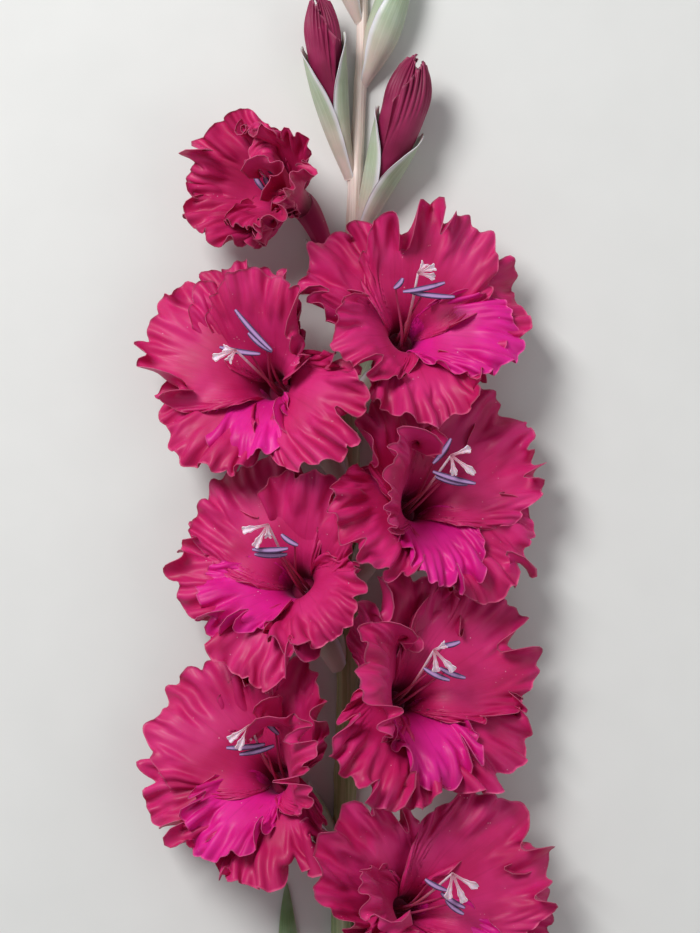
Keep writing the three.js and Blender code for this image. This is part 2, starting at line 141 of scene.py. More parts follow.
# How each floret's tepals differ from the six above.
OWN_TEPALS = {
    "floret_1": {
        "right": dict(angle=27, curls=[(0.35, 0.03, 150, 0.2)]),
        "top": dict(angle=140, flare=70, folds=0.8),
        "left": dict(angle=205, flare=34, recurve=30, curls=[(0.5, 0.06, 200, 0.3)]),
        "low_left": dict(angle=255),
        "lip": dict(angle=305),
        "low_right": dict(angle=344, flare=84, length=76),
    },
    "floret_2": {
        "right": dict(angle=37, folds=0.5),
        "top": dict(angle=100, flare=58),
        "left": dict(angle=160, flare=24, recurve=30, curls=[(0.35, 0.05, 220, 0.3)]),
        "low_left": dict(
            angle=262, length=66, folds=1.4, curls=[(0.3, 0.03, -190, 0.3), (0.42, 0.03, -170, 0.25)]
        ),
        "lip": dict(angle=303, recurve=20, length=60),
        "low_right": dict(angle=348, folds=1.3),
    },
    "floret_3": {
        "right": dict(angle=30, curls=[(0.47, 0.02, 190, 0.16), (0.7, 0.03, 60, 0.2)]),
        "left": dict(angle=170, flare=30, curls=[(0.25, 0.05, 240, 0.3)]),
        "low_left": dict(angle=238, folds=1.3),
        "low_right": dict(angle=322),
    },
    "floret_4": {
        "right": dict(angle=58, folds=0.6),
        "top": dict(angle=112, flare=50),
        "left": dict(angle=225, flare=52, recurve=60, length=60, folds=1.2, crimps=1.3),
        "low_left": dict(angle=284, length=70, folds=0.9),
        "lip": dict(angle=330, recurve=24, length=60),
        "low_right": dict(angle=4, flare=74, folds=1.4, curls=[(0.5, 0.04, 120, 0.2)]),
    },
    "floret_5": {
        "right": dict(angle=31, curls=[(0.36, 0.02, 200, 0.16), (0.78, 0.03, 150, 0.16)]),
        "left": dict(angle=158, flare=24, recurve=26, curls=[(0.35, 0.06, 200, 0.3)]),
        "low_left": dict(angle=205, length=64, flare=66),
        "low_right": dict(angle=318, folds=0.8),
    },
    "floret_6": {
        "right": dict(angle=27, curls=[(0.3, 0.035, 330, 0.24)]),
        "top": dict(angle=75, flare=58),
        "left": dict(angle=97, flare=44, recurve=16, lift=3.4, curls=[(0.75, 0.06, 200, 0.3)]),
        "low_left": dict(angle=212, flare=80, folds=1.4),
        "lip": dict(angle=282, length=50),
        "low_right": dict(angle=316, length=66, flare=70),
    },
    "floret_7": {
        "right": dict(angle=72, flare=62, recurve=10, curls=[(0.62, 0.05, 170, 0.24)]),
        "top": dict(angle=140, flare=76, folds=1.0, length=72),
        "left": dict(angle=203, flare=50, recurve=46, length=56, width=50, crimps=1.3),
        "low_left": dict(angle=282, flare=72, length=64),
        "lip": dict(angle=346, length=66, width=46, flare=70),
        "low_right": dict(angle=20, flare=78, folds=0.9),
    },
    "floret_8": {
        "right": dict(angle=30, folds=1.2, crimps=2.0, flare=84),
        "top": dict(angle=88, folds=1.5, crimps=2.0, flare=74, curls=[(0.5, 0.08, 120, 0.3)]),
        "left": dict(angle=150, folds=1.5, crimps=2.2, recurve=30, curls=[(0.4, 0.1, 160, 0.35)]),
        "low_left": dict(angle=215, folds=1.5, crimps=2.0, flare=70),
        "lip": dict(angle=275, folds=1.4, crimps=2.0),
        "low_right": dict(angle=330, folds=1.4, crimps=2.0, flare=88),
    },
}

# Where the stamens and the style of each floret end, from its throat, in the layout's x and y: each anther
# from end to end, then the fork of the stigma and the tips of its arms.
HEARTS = {
    "floret_1": (
        [(8.5, 20, 19.5, 14.5), (16.5, 13, 28.5, 5.5), (19, 9, 28, 2)],
        (22, 23.5),
        [(34.5, 16.5), (19.5, 10.5), (28, 9)],
    ),
    "floret_2": (
        [(-8, 37, 2.5, 25), (-24, 18, -4.5, 20), (-17.5, 14.5, 0, 19)],
        (-12, 30),
        [(-22.5, 22.5), (-13, 23), (-18, 18)],
    ),
    "floret_3": (
        [(18.5, 28.5, 28, 30.5), (10, 17, 23, 11), (18, 17, 31, 12)],
        (15, 26.5),
        [(20, 29), (16, 15.5), (25, 16)],
    ),
    "floret_4": (
        [(-22, 17.5, -4, 18), (-7.5, 25, 1, 19.5), (-21, 15, -4.5, 15)],
        (-14, 30),
        [(-26.5, 27), (-14, 24), (-20.5, 19)],
    ),
    "floret_5": (
        [(9.5, 21.5, 18.5, 34), (9.5, 17.5, 31, 11.5), (11, 15, 27, 11)],
        (18.5, 25.5),
        [(28, 29), (20, 16), (30, 16.5)],
    ),
    "floret_6": (
        [(-17.5, 36.5, 1, 16), (-11, 25, 1, 15.5), (-25.5, 18, -5, 14.5)],
        (-17, 16),
        [(-28.5, 12), (-20.5, 11), (-22.5, 17)],
    ),
    "floret_7": (
        [(-1.5, 20.5, 19.5, 25), (2, 20.5, 24.5, 18), (-6, 22.5, -1.5, 27.5)],
        (6, 29.5),
        [(14, 32.5), (14, 27.5), (9, 34)],
    ),
    "floret_8": (
        [(-15.5, 10, -9.5, 1), (-8.5, 14.5, -5.5, 10.5), (-10, 9, -7, 4)],
        (-13, 11.5),
        [(-16, 13.5), (-10, 13.5), (-14, 9.5)],
    ),
}

SPATHE = SimpleNamespace(length=52, belly=3.0, wrap=118)
BUDS = table(
    "name side node tip width show",
    [
        ("bud_1", 1, 548, (34, 641, 24), 26, 50),
        ("bud_2", -1, 580, (-17, 674, 20), 21, 36),
        ("bud_3", 1, 628, (27, 696, 15), 19, 0),
        ("bud_4", -1, 661, (-8, 718, 11), 13.5, 0),
        ("bud_5", 1, 690, (19, 737, 9), 10.5, 0),
        ("bud_6", -1, 713, (1, 754, 7), 8.5, 0),
        ("bud_7", 1, 732, (12, 772, 6), 7, 0),
    ],
)

# The furled petals of a bud, from the outside in: the angle each faces, the angle it spans, the shares of
# the bud's length where it starts and ends, and how far it lies inside the bud.
BUD_LAYERS = [
    (20, 190, 0.2, 0.97, 1.2),
    (140, 180, 0.2, 1.0, 2.2),
    (250, 190, 0.2, 0.95, 3.0),
    (80, 170, 0.25, 0.93, 4.4),
    (200, 200, 0.3, 0.98, 6.0),
    (60, 240, 0.3, 0.9, 7.4),
]

# How a leaf wraps the stem, how high it arches, and how flat it becomes.
LEAF = SimpleNamespace(wrap=50, rise=7, flattening=0.12)
LEAVES = table(
    "name side start tip width",
    [
        ("leaf_left", -1, 14, (-33, 214), 19),
        ("leaf_right", 1, 48, (46, 150), 15),
    ],
)

# ---- Numbers ----

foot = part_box("stem")[0]
SHIFT = np.array([foot.x / MM - STEM_FOOT_LEFT, foot.y / MM, 0.0])


def row(points):
    """Layout millimetres as the frame's metres."""
    return (np.asarray(points, float) + SHIFT) * MM


def lerp(a, b, share):
    return a + (b - a) * share


def smooth(value, low, high):
    share = np.clip((value - low) / (high - low), 0, 1)
    return share * share * (3 - 2 * share)


def unit(vectors):
    return vectors / np.maximum(np.linalg.norm(vectors, axis=-1, keepdims=True), 1e-9)


def turned(degrees):
    return np.array([math.cos(math.radians(degrees)), math.sin(math.radians(degrees))])


def wander(rng, places, scale):
    """A smooth random line between about -1 and 1, which changes over a distance of scale."""
    total = np.zeros_like(np.asarray(places, float))
    for octave, weight in ((1.0, 0.55), (1.9, 0.3), (3.3, 0.15)):
        turns = places * octave / scale * rng.uniform(0.85, 1.15)
        total += weight * np.sin(2 * math.pi * turns + rng.uniform(0, ANY_PHASE))
    return total * 1.3


def settled(points, rest):
    """Points that would pass into the floor lie along it instead."""
    soft = 1.2
    low = points[..., 2] - rest
    points[..., 2] = rest + soft * np.logaddexp(0, low / soft)
    return points


def nodded(points):
    """The tallest parts of the petals bend over rather than stand to their full height."""
    soft = 3.0
    tall = soft * np.logaddexp(0, (points[..., 2] - PETAL.nod) / soft)
    points[..., 2] -= 0.72 * tall
    return points


def bezier(controls, shares):
    a, b, c, d = (np.asarray(p, float) for p in controls)
    s = np.asarray(shares, float)[..., None]
    return a * (1 - s) ** 3 + 3 * b * s * (1 - s) ** 2 + 3 * c * s * s * (1 - s) + d * s**3


class Line:
    """A curve that can be asked for its frames by the distance along it."""

    def __init__(self, points, side=1):
        self.points = np.asarray(points, float)
        steps = np.linalg.norm(np.diff(self.points, axis=0), axis=1)
        self.travelled = np.concatenate([[0], np.cumsum(steps)])
        self.length = self.travelled[-1]
        self.tangents = unit(np.gradient(self.points, self.travelled, axis=0))
        self.side = side

    def pick(self, table, distance):
        return np.stack([np.interp(distance, self.travelled, table[:, k]) for k in range(3)], -1)

    def at(self, distance):
        """Centre, direction, outwards (away from the stem) and upwards, at distances along the line."""
        distance = np.asarray(distance, float)
        along = unit(self.pick(self.tangents, distance))
        centre = self.pick(self.points, distance) + along * np.maximum(distance - self.length, 0)[..., None]
        up = unit(np.array([0, 0, 1.0]) - along * along[..., 2:3])
        out = np.cross(along, up) * self.side
        return centre, along, out, up


def curve(controls, steps, side=1):
    """A Bezier curve of four control points, as a Line."""
    return Line(bezier(controls, np.linspace(0, 1, steps)), side)


def stem_radius(from_cut):
    share = np.clip(np.asarray(from_cut, float) / STEM.length, 0, 1)
    return lerp(STEM.cut_radius, STEM.tip_radius, share**STEM.taper)


def stem_centre(from_cut):
    """The stem's centre: it lies on the floor, and sways a little from side to side."""
    shares, xs = np.array(STEM_SWAY, float).T
    share = np.asarray(from_cut, float) / STEM.length
    fine = np.linspace(0, 1, 400)
    swayed = np.interp(fine, shares, xs)
    kernel = np.hanning(61) / np.hanning(61).sum()
    swayed = np.convolve(np.pad(swayed, 30, mode="reflect", reflect_type="odd"), kernel, mode="valid")
    x = np.interp(share, fine, swayed)
    return np.stack([x, np.asarray(from_cut, float), stem_radius(from_cut)], -1)


# ---- Meshes ----


def add_mesh(name, points, quads, uv, look, replaced):
    """One closed piece, from its corners in layout millimetres, its faces, and each corner's grain."""
    mesh = bpy.data.meshes.new(name)
    mesh.from_pydata(row(points).tolist(), [], quads)
    mesh.update()
    layer = mesh.uv_layers.new(name="grain")
    corner = np.zeros(len(mesh.loops), np.int32)
    mesh.loops.foreach_get("vertex_index", corner)
    layer.data.foreach_set("uv", np.asarray(uv, float)[corner].ravel())
    mesh.shade_smooth()
    mesh.materials.append(look)
    piece = bpy.data.objects.new(name, mesh)
    bpy.context.scene.collection.objects.link(piece)
    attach(piece, "root")
    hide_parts(*replaced)


def grid_grain(across, along):
    """The grain of a grid of corners: across changes from column to column, along from row to row."""
    return np.stack(np.broadcast_arrays(across, along[:, None]), -1)


def grid_quads(rows, columns, start, flip):
    """The faces of a grid of corners, numbered from start."""
    i, j = np.meshgrid(np.arange(rows - 1), np.arange(columns - 1), indexing="ij")
    a = start + i * columns + j
    faces = np.stack([a, a + 1, a + columns + 1, a + columns], -1).reshape(-1, 4)
    return faces[:, ::-1] if flip else faces


def sheet(name, middle, thickness, uv, look, replaced):
    """A closed sheet round a grid of middle points. thickness is given per point."""
    rows, columns = middle.shape[:2]
    normal = unit(np.cross(np.gradient(middle, axis=1), np.gradient(middle, axis=0)))
    offset = normal * (thickness / 2)[..., None]
    points = np.concatenate([(middle + offset).reshape(-1, 3), (middle - offset).reshape(-1, 3)])
    count = rows * columns
    border = [(0, j) for j in range(columns - 1)]
    border += [(i, columns - 1) for i in range(rows - 1)]
    border += [(rows - 1, j) for j in range(columns - 1, 0, -1)]
    border += [(i, 0) for i in range(rows - 1, 0, -1)]
    loop = np.array([i * columns + j for i, j in border])
    after = np.roll(loop, -1)
    rim = np.stack([loop, loop + count, after + count, after], -1)
    front, back = grid_quads(rows, columns, 0, True), grid_quads(rows, columns, count, False)
    faces = np.concatenate([front, back, rim])
    uv = np.asarray(uv, float).reshape(-1, 2)
    add_mesh(name, points, faces.tolist(), np.concatenate([uv, uv]), look, replaced)


def tube_mesh(rings):
    """Corners, faces and grain of a closed solid through rings of points."""
    count, sides = rings.shape[:2]
    points = np.concatenate([rings.reshape(-1, 3), rings[:1].mean(1), rings[-1:].mean(1)])
    faces = []
    for i in range(count - 1):
        for j in range(sides):
            k = (j + 1) % sides
            faces.append((i * sides + j, i * sides + k, (i + 1) * sides + k, (i + 1) * sides + j))
    first, last = count * sides, count * sides + 1
    for j in range(sides):
        k = (j + 1) % sides
        faces.append((k, j, first))
        faces.append(((count - 1) * sides + j, (count - 1) * sides + k, last))
    around, along = np.meshgrid(np.arange(sides) / sides, np.linspace(0, 1, count))
    around = 1 - np.abs(2 * around - 1)
    uv = np.concatenate([np.stack([around, along], -1).reshape(-1, 2), [[0, 0], [0, 1]]])
    return points, faces, uv


def rod_rings(line, distances, radius, sides, squash=1.0):
    """Rings round a line. radius is given per distance, or per distance and angle."""
    centre, _, out, up = line.at(distances)
    angle = np.linspace(0, 2 * math.pi, sides, endpoint=False)
    radius = np.asarray(radius, float)
    radius = radius[:, None] if radius.ndim == 1 else radius
    across = (radius * np.cos(angle))[..., None] * out[:, None]
    rise = (radius * np.sin(angle) * squash)[..., None] * up[:, None] * -line.side
    return centre[:, None] + across + rise


# ---- Materials ----


class Look:
    """A material, built up node by node round its Principled shader."""

    def __init__(self, name, **constants):
        self.material = bpy.data.materials.new(name)
        self.material.use_nodes = True
        self.tree = self.material.node_tree
        self.shader = self.tree.nodes["Principled BSDF"]
        for socket, value in constants.items():
            self.shader.inputs[socket.replace("_", " ")].default_value = value

    def add(self, kind, inputs=(), **settings):
        node = self.tree.nodes.new(kind)
        for key, value in settings.items():
            setattr(node, key, value)
        for key, value in dict(inputs).items():
            if isinstance(value, bpy.types.NodeSocket):
                self.tree.links.new(value, node.inputs[key])
            else:
                node.inputs[key].default_value = value
        return node

    def grain(self):
        return self.add("ShaderNodeUVMap", uv_map="grain").outputs[0]

    def place(self):
        return self.add("ShaderNodeTexCoord").outputs["Object"]

    def split(self, vector):
        return self.add("ShaderNodeSeparateXYZ", {0: vector}).outputs

    def scaled(self, vector, scale):
        return self.add("ShaderNodeVectorMath", {0: vector, 1: scale}, operation="MULTIPLY").outputs[0]

    def noise(self, vector, scale, detail=3.0, roughness=0.5):
        inputs = {"Vector": vector, "Scale": scale, "Detail": detail, "Roughness": roughness}
        return self.add("ShaderNodeTexNoise", inputs).outputs[0]

    def range(self, value, low, high, start=0.0, end=1.0):
        """value from low to high as a smooth step from start to end."""
        inputs = {"Value": value, "From Min": low, "From Max": high, "To Min": start, "To Max": end}
        return self.add("ShaderNodeMapRange", inputs, interpolation_type="SMOOTHSTEP").outputs[0]

    def combine(self, a, b, operation="ADD"):
        return self.add("ShaderNodeMath", {0: a, 1: b}, operation=operation).outputs[0]

    def mix(self, share, a, b, blend="MIX"):
        node = self.add("ShaderNodeMix", {0: share, 6: a, 7: b}, data_type="RGBA", blend_type=blend)
        return node.outputs[2]

    def bump(self, height, strength, distance):
        inputs = {"Height": height, "Strength": strength, "Distance": distance}
        return self.add("ShaderNodeBump", inputs).outputs[0]

    def off_middle(self, across):
        """How far a place on the grain is from the middle of its blade: 0 there and 0.5 at either margin."""
        return self.combine(self.combine(across, 0.5, "SUBTRACT"), 0.0, "ABSOLUTE")

    def set(self, **inputs):
        for key, value in inputs.items():
            self.tree.links.new(value, self.shader.inputs[key.replace("_", " ")])
        return self.material

    def finish(self, colour, rough, bump):
        """rough is a pattern and the roughness where it is low and high; bump, height, strength, distance."""
        pattern, low, high = rough
        roughness = self.range(pattern, 0.3, 0.7, low, high)
        return self.set(Base_Color=colour, Roughness=roughness, Normal=self.bump(*bump))


def petal_look(name, body, deep, bright):
    """Velvety petal: fine veins along its rays, a pale rim, painted shade in the throat, pollen specks and
    painted dew glints.
    """
    look = Look(
        name,
        Subsurface_Weight=0.1,
        Subsurface_Radius=(1.0, 0.1, 0.25),
        Subsurface_Scale=0.002,
        Specular_IOR_Level=0.3,
        Sheen_Weight=0.12,
        Sheen_Roughness=0.3,
        Sheen_Tint=(1.0, 0.4, 0.65, 1.0),
    )
    grain = look.grain()
    _, along, _ = look.split(grain)
    place = look.place()
    veins = look.noise(look.scaled(grain, (55, 1.3, 1)), 1.0, 4.0, 0.6)
    fine = look.noise(look.scaled(grain, (170, 2.5, 1)), 1.0, 2.0)
    clouds = look.noise(place, 38.0, 3.0)
    colour = look.mix(look.range(clouds, 0.3, 0.7), body, bright)
    colour = look.mix(look.range(veins, 0.5, 0.75, 0.0, 0.3), colour, deep)
    colour = look.mix(look.range(fine, 0.55, 0.75, 0.0, 0.3), colour, bright)
    # Painted shade: each tepal darkens towards its foot, deep in the throat where shadow falls.
    throat = tuple(0.45 * c for c in deep[:3]) + (1,)
    colour = look.mix(look.range(along, 0.34, 0.02, 0.0, 0.9), colour, throat)
    colour = look.mix(look.range(along, 0.982, 0.998, 0.0, 0.3), colour, (0.80, 0.25, 0.38, 1))
    # Pale specks here and there: pollen, with the painted glint of dew drops.
    specks = look.add("ShaderNodeTexVoronoi", {"Vector": place, "Scale": 420.0}).outputs["Distance"]
    here_and_there = look.range(look.noise(place, 120.0, 1.0), 0.62, 0.7)
    rare = look.combine(look.range(specks, 0.16, 0.08), here_and_there, "MULTIPLY")
    colour = look.mix(look.combine(rare, 0.55, "MULTIPLY"), colour, (0.9, 0.6, 0.68, 1))
    height = look.combine(veins, look.combine(fine, 0.5, "MULTIPLY"))
    return look.finish(colour, (fine, 0.42, 0.58), (height, 0.2, 0.0003))


def bract_look(name, green, tint):
    """Waxy bract: pale green with fine parallel veins, a white margin, and a pinkish foot."""
    look = Look(
        name,
        Subsurface_Weight=0.08,
        Subsurface_Scale=0.003,
        Specular_IOR_Level=0.4,
        Coat_Weight=0.05,
    )
    grain = look.grain()
    across, along, _ = look.split(grain)
    lines = look.noise(look.scaled(grain, (48, 1.2, 1)), 1.0, 3.0)
    clouds = look.noise(look.place(), 70.0, 3.0)
    colour = look.mix(look.range(lines, 0.35, 0.7, 0.0, 0.55), green, (0.52, 0.6, 0.44, 1))
    colour = look.mix(look.range(clouds, 0.4, 0.75, 0.0, 0.35), colour, (0.56, 0.63, 0.56, 1))
    blotched = look.range(clouds, 0.2, 0.6, 0.6, 1.0)
    foot_share = look.combine(look.range(along, 0.62, 0.08), blotched, "MULTIPLY")
    colour = look.mix(look.combine(foot_share, 0.85, "MULTIPLY"), colour, tint)
    margin = look.range(look.off_middle(across), 0.40, 0.49, 0.0, 0.85)
    colour = look.mix(margin, colour, (0.78, 0.74, 0.80, 1))
    colour = look.mix(look.range(along, 0.9, 1.0, 0.0, 0.5), colour, (0.74, 0.72, 0.74, 1))
    return look.finish(colour, (clouds, 0.42, 0.6), (lines, 0.3, 0.0004))


def stem_look():
    """Green at the cut end, olive in the middle and pinkish cream near the tip, with ribs and a bloom."""
    look = Look("stem", Subsurface_Weight=0.06, Subsurface_Scale=0.003, Specular_IOR_Level=0.4)
    place = look.place()
    _, along, _ = look.split(place)
    start = float(foot.y)
    ribs = look.noise(look.scaled(place, (900, 12, 900)), 1.0, 2.0)
    clouds = look.noise(look.scaled(place, (60, 18, 60)), 1.0, 3.0)
    low = look.mix(look.range(ribs, 0.35, 0.65), (0.13, 0.22, 0.07, 1), (0.22, 0.33, 0.13, 1))
    middle = look.mix(look.range(ribs, 0.35, 0.65), (0.27, 0.29, 0.11, 1), (0.42, 0.38, 0.2, 1))
    high = look.mix(look.range(ribs, 0.35, 0.65), (0.72, 0.56, 0.5, 1), (0.86, 0.72, 0.66, 1))
    colour = look.mix(look.range(along, start + 0.12, start + 0.34), low, middle)
    colour = look.mix(look.range(along, start + 0.46, start + 0.58), colour, high)
    colour = look.mix(look.range(clouds, 0.5, 0.8, 0.0, 0.4), colour, (0.62, 0.55, 0.5, 1))
    return look.finish(colour, (clouds, 0.4, 0.6), (ribs, 0.5, 0.0005))


def leaf_look():
    """A sword leaf: long parallel veins, a waxy bloom, and a paler edge."""
    look = Look("leaf", Subsurface_Weight=0.05, Subsurface_Scale=0.003, Specular_IOR_Level=0.4)
    grain = look.grain()
    across, _, _ = look.split(grain)
    lines = look.noise(look.scaled(grain, (60, 1.0, 1)), 1.0, 3.0)
    clouds = look.noise(look.place(), 60.0, 3.0)
    colour = look.mix(look.range(lines, 0.35, 0.68), (0.10, 0.20, 0.06, 1), (0.24, 0.36, 0.16, 1))
    colour = look.mix(look.range(clouds, 0.45, 0.8, 0.0, 0.5), colour, (0.36, 0.46, 0.32, 1))
    margin = look.range(look.off_middle(across), 0.45, 0.5, 0.0, 0.7)
    colour = look.mix(margin, colour, (0.6, 0.62, 0.5, 1))
    return look.finish(colour, (clouds, 0.4, 0.58), (lines, 0.5, 0.0006))


def anther_look():
    """Lilac down the middle of the pollen sacs, and dark indigo along their edges."""
    look = Look("anther", Specular_IOR_Level=0.4, Sheen_Weight=0.2)
    grain = look.grain()
    around, _, _ = look.split(grain)
    dust = look.noise(look.place(), 900.0, 2.0)
    edge = look.combine(look.range(around, 0.18, 0.42), look.range(around, 0.82, 0.58), "MULTIPLY")
    colour = look.mix(edge, (0.035, 0.014, 0.09, 1), (0.44, 0.25, 0.52, 1))
    colour = look.mix(look.range(dust, 0.55, 0.75, 0.0, 0.25), colour, (0.55, 0.42, 0.62, 1))
    return look.finish(colour, (dust, 0.5, 0.7), (dust, 0.4, 0.0003))


def filament_look():
    """Dark pink and a little translucent, with fine lines along it."""
    look = Look("filament", Subsurface_Weight=0.2, Subsurface_Scale=0.002, Specular_IOR_Level=0.4)
    lines = look.noise(look.scaled(look.grain(), (9, 1.5, 1)), 1.0, 3.0)
    colour = look.mix(look.range(lines, 0.3, 0.7), (0.30, 0.012, 0.07, 1), (0.50, 0.06, 0.16, 1))
    return look.finish(colour, (lines, 0.4, 0.6), (lines, 0.2, 0.0002))


def style_look():
    """Brownish pink, and whiter towards the stigma."""
    look = Look("style", Subsurface_Weight=0.25, Subsurface_Scale=0.002, Specular_IOR_Level=0.4)
    _, along, _ = look.split(look.grain())
    clouds = look.noise(look.place(), 500.0, 2.0)
    colour = look.mix(look.range(along, 0.45, 1.0), (0.42, 0.07, 0.13, 1), (0.84, 0.58, 0.70, 1))
    pale = look.combine(look.range(clouds, 0.4, 0.7, 0.3, 1.0), look.range(along, 0.6, 1.0), "MULTIPLY")
    colour = look.mix(pale, colour, (0.90, 0.78, 0.86, 1))
    return look.finish(colour, (clouds, 0.4, 0.6), (clouds, 0.2, 0.0002))


# The body, deep and bright colours of each kind of petal.
PETAL_COLOURS = {
    "petal": [(0.47, 0.007, 0.095, 1), (0.30, 0.003, 0.05, 1), (0.62, 0.02, 0.17, 1)],
    "lip_petal": [(0.58, 0.006, 0.18, 1), (0.34, 0.003, 0.11, 1), (0.78, 0.012, 0.30, 1)],
    "young_petal": [(0.40, 0.006, 0.075, 1), (0.20, 0.002, 0.03, 1), (0.60, 0.02, 0.15, 1)],
    "bud_petal": [(0.17, 0.006, 0.04, 1), (0.08, 0.002, 0.018, 1), (0.30, 0.018, 0.085, 1)],
}
LOOKS = {
    **{name: petal_look(name, *colours) for name, colours in PETAL_COLOURS.items()},
    "spathe": bract_look("spathe", (0.33, 0.41, 0.27, 1), (0.74, 0.52, 0.50, 1)),
    "stem": stem_look(),
    "leaf": leaf_look(),
    "anther": anther_look(),
    "filament": filament_look(),
    "style": style_look(),
}

# ---- The stem and its leaves ----


def make_stem():
    """A ribbed stem that steps a little from side to side, with a faint ridge below each node."""
    y = np.linspace(0, STEM.length, STEM.rings)
    centre = stem_centre(y)
    radius = stem_radius(y)
    for one in FLORETS + BUDS:
        near = np.exp(-(((y - one["node"]) / 5) ** 2))
        radius = radius * (1 + 0.10 * near)
    angle = np.linspace(0, 2 * math.pi, STEM.sides, endpoint=False)
    ribs = 1 + 0.035 * np.cos(9 * angle) + 0.015 * np.cos(4 * angle + 1)
    rounded = np.minimum(1, np.sqrt(np.clip(1 - (1 - np.minimum(y, 2.0) / 2.0) ** 2, 0.72, 1)))
    reach = (radius * rounded)[:, None] * ribs
    flat = np.stack([reach * np.cos(angle), np.zeros_like(reach), reach * np.sin(angle)], -1)
    rings = settled(centre[:, None] + flat, 0.05)
    points, faces, uv = tube_mesh(rings[:, ::-1])
    add_mesh("stem_skin", points, faces, uv, LOOKS["stem"], ["stem"])


def make_leaf(name, side, start, tip, width):
    """A sword leaf that hugs the stem at its foot, then turns flat and lies along the floor."""
    hug = float(stem_radius(start)) + 1.1
    x = float(stem_centre(start)[0]) + side * hug
    controls = [
        (x, start, STEM.cut_radius),
        (x + side, lerp(start, tip[1], 0.25), STEM.cut_radius + LEAF.rise),
        (tip[0], lerp(start, tip[1], 0.6), LEAF.rise),
        (tip[0], tip[1], 0.8),
    ]
    line = curve(controls, 200, side)
    rows, columns = 160, 41
    share = 1 - (1 - np.linspace(0, 1, rows)) ** 1.4
    centre, _, out, up = line.at(share * line.length)
    twist = math.radians(90) * smooth(share, 0.1, 0.9)
    facing = out * np.cos(twist)[:, None] + up * np.sin(twist)[:, None]
    sideways = up * np.cos(twist)[:, None] - out * np.sin(twist)[:, None]
    wrapped = math.radians(LEAF.wrap) * hug
    half = lerp(wrapped, width / 2, smooth(share, 0, 0.4)) * np.maximum(1 - share**4, 0) ** 0.8
    u = np.linspace(-1, 1, columns)
    offset = half[:, None] * u
    radius = (hug / lerp(1, LEAF.flattening, smooth(share, 0, 0.5)))[:, None]
    crease = -0.10 * np.abs(offset) + 0.18 * np.cos(u * 9 * math.pi) * (half / half.max())[:, None] * 0.5
    middle = (
        centre[:, None]
        + facing[:, None] * (radius * (np.cos(offset / radius) - 1) + crease)[..., None]
        + sideways[:, None] * (radius * np.sin(offset / radius))[..., None]
    )
    middle = settled(middle, 0.6)
    thickness = np.broadcast_to(0.9 - 0.55 * np.abs(u) ** 3, (rows, columns))
    uv = grid_grain((u + 1) / 2, share)
    sheet(name + "_blade", middle, thickness, uv, LOOKS["leaf"], [name])


# ---- Florets ----


class Floret:
    """Where a floret stands, and its own axes: right and up across its face, and axis out of its throat."""

    def __init__(self, name, side, node, throat, yaw, tilt, size, opened):
        self.name, self.side, self.node = name, side, node
        self.size, self.opened = size, opened
        self.throat = np.array(throat, float)
        yaw, tilt = math.radians(yaw) * side, math.radians(tilt)
        level = math.cos(tilt)
        self.axis = np.array([math.sin(yaw) * level, math.sin(tilt), math.cos(yaw) * level])
        self.up = unit(np.array([0, 1.0, 0]) - self.axis * self.axis[1])
        self.right = np.cross(self.up, self.axis)
        self.seed = int(name[-1]) * 100

    def place(self, x, y, z):
        x, y, z = (np.asarray(v, float)[..., None] for v in (x, y, z))
        return self.throat + self.right * x + self.up * y + self.axis * z

    def tube_line(self):
        root = stem_centre(self.node) + np.array([self.side * float(stem_radius(self.node)) * 0.5, 0, 0])
        end = self.place(0, 0, -THROAT_DEPTH)
        leaving = unit(np.array([self.side * 0.35, 1, 0.1])) * np.linalg.norm(end - root) * 0.5
        arriving = self.place(0, 0, -THROAT_DEPTH - TUBE.straight)
        return curve([root, root + leaving, arriving, end], 120, self.side)


def tube_radius(share):
    return lerp(TUBE.node_radius, TUBE.throat_radius, np.asarray(share, float) ** 1.6)


def make_tube(floret):
    """The tube that the six tepals share, a little fluted, from the stem up to the floor of the throat."""
    line = floret.tube_line()
    share = np.linspace(0, 1, 40)
    angle = np.linspace(0, 2 * math.pi, 30, endpoint=False)
    radius = tube_radius(share)[:, None] * (1 + 0.05 * share[:, None] * np.cos(6 * angle))
    points, faces, uv = tube_mesh(rod_rings(line, share * line.length, radius, 30))
    # The tube borrows the grain of the tepals' foot, so their painted throat shade darkens it towards the
    # throat.
    uv[:, 1] = 0.34 * (1 - uv[:, 1]) + 0.1
    add_mesh(f"{floret.name}_tube", points, faces, uv, LOOKS["petal"], [f"{floret.name}_perianth"])


def tepal_outline(width, length, columns):
    """The margin of a flat tepal, (across, along), from one side of its foot round its tip to the other."""
    widest = 0.6
    rounded = widest + (1 - widest) * np.sin(np.linspace(0, math.pi / 2, 160))
    along = np.concatenate([np.linspace(0.1, widest, 120), rounded])
    low = CLAW / (width / 2)
    half = np.where(
        along < widest,
        lerp(low, 1, np.sin(math.pi / 2 * np.clip(along / widest, 0, 1)) ** 1.15),
        np.sqrt(np.clip(1 - ((along - widest) / (1 - widest)) ** 2.3, 0, 1)),
    )
    side = np.stack([half * width / 2, along * length], -1)
    whole = np.concatenate([side * (-1, 1), side[::-1][1:]])
    gone = np.concatenate([[0], np.cumsum(np.linalg.norm(np.diff(whole, axis=0), axis=1))])
    arc = np.linspace(0, gone[-1], columns)
    return np.stack([np.interp(arc, gone, whole[:, k]) for k in range(2)], -1), arc


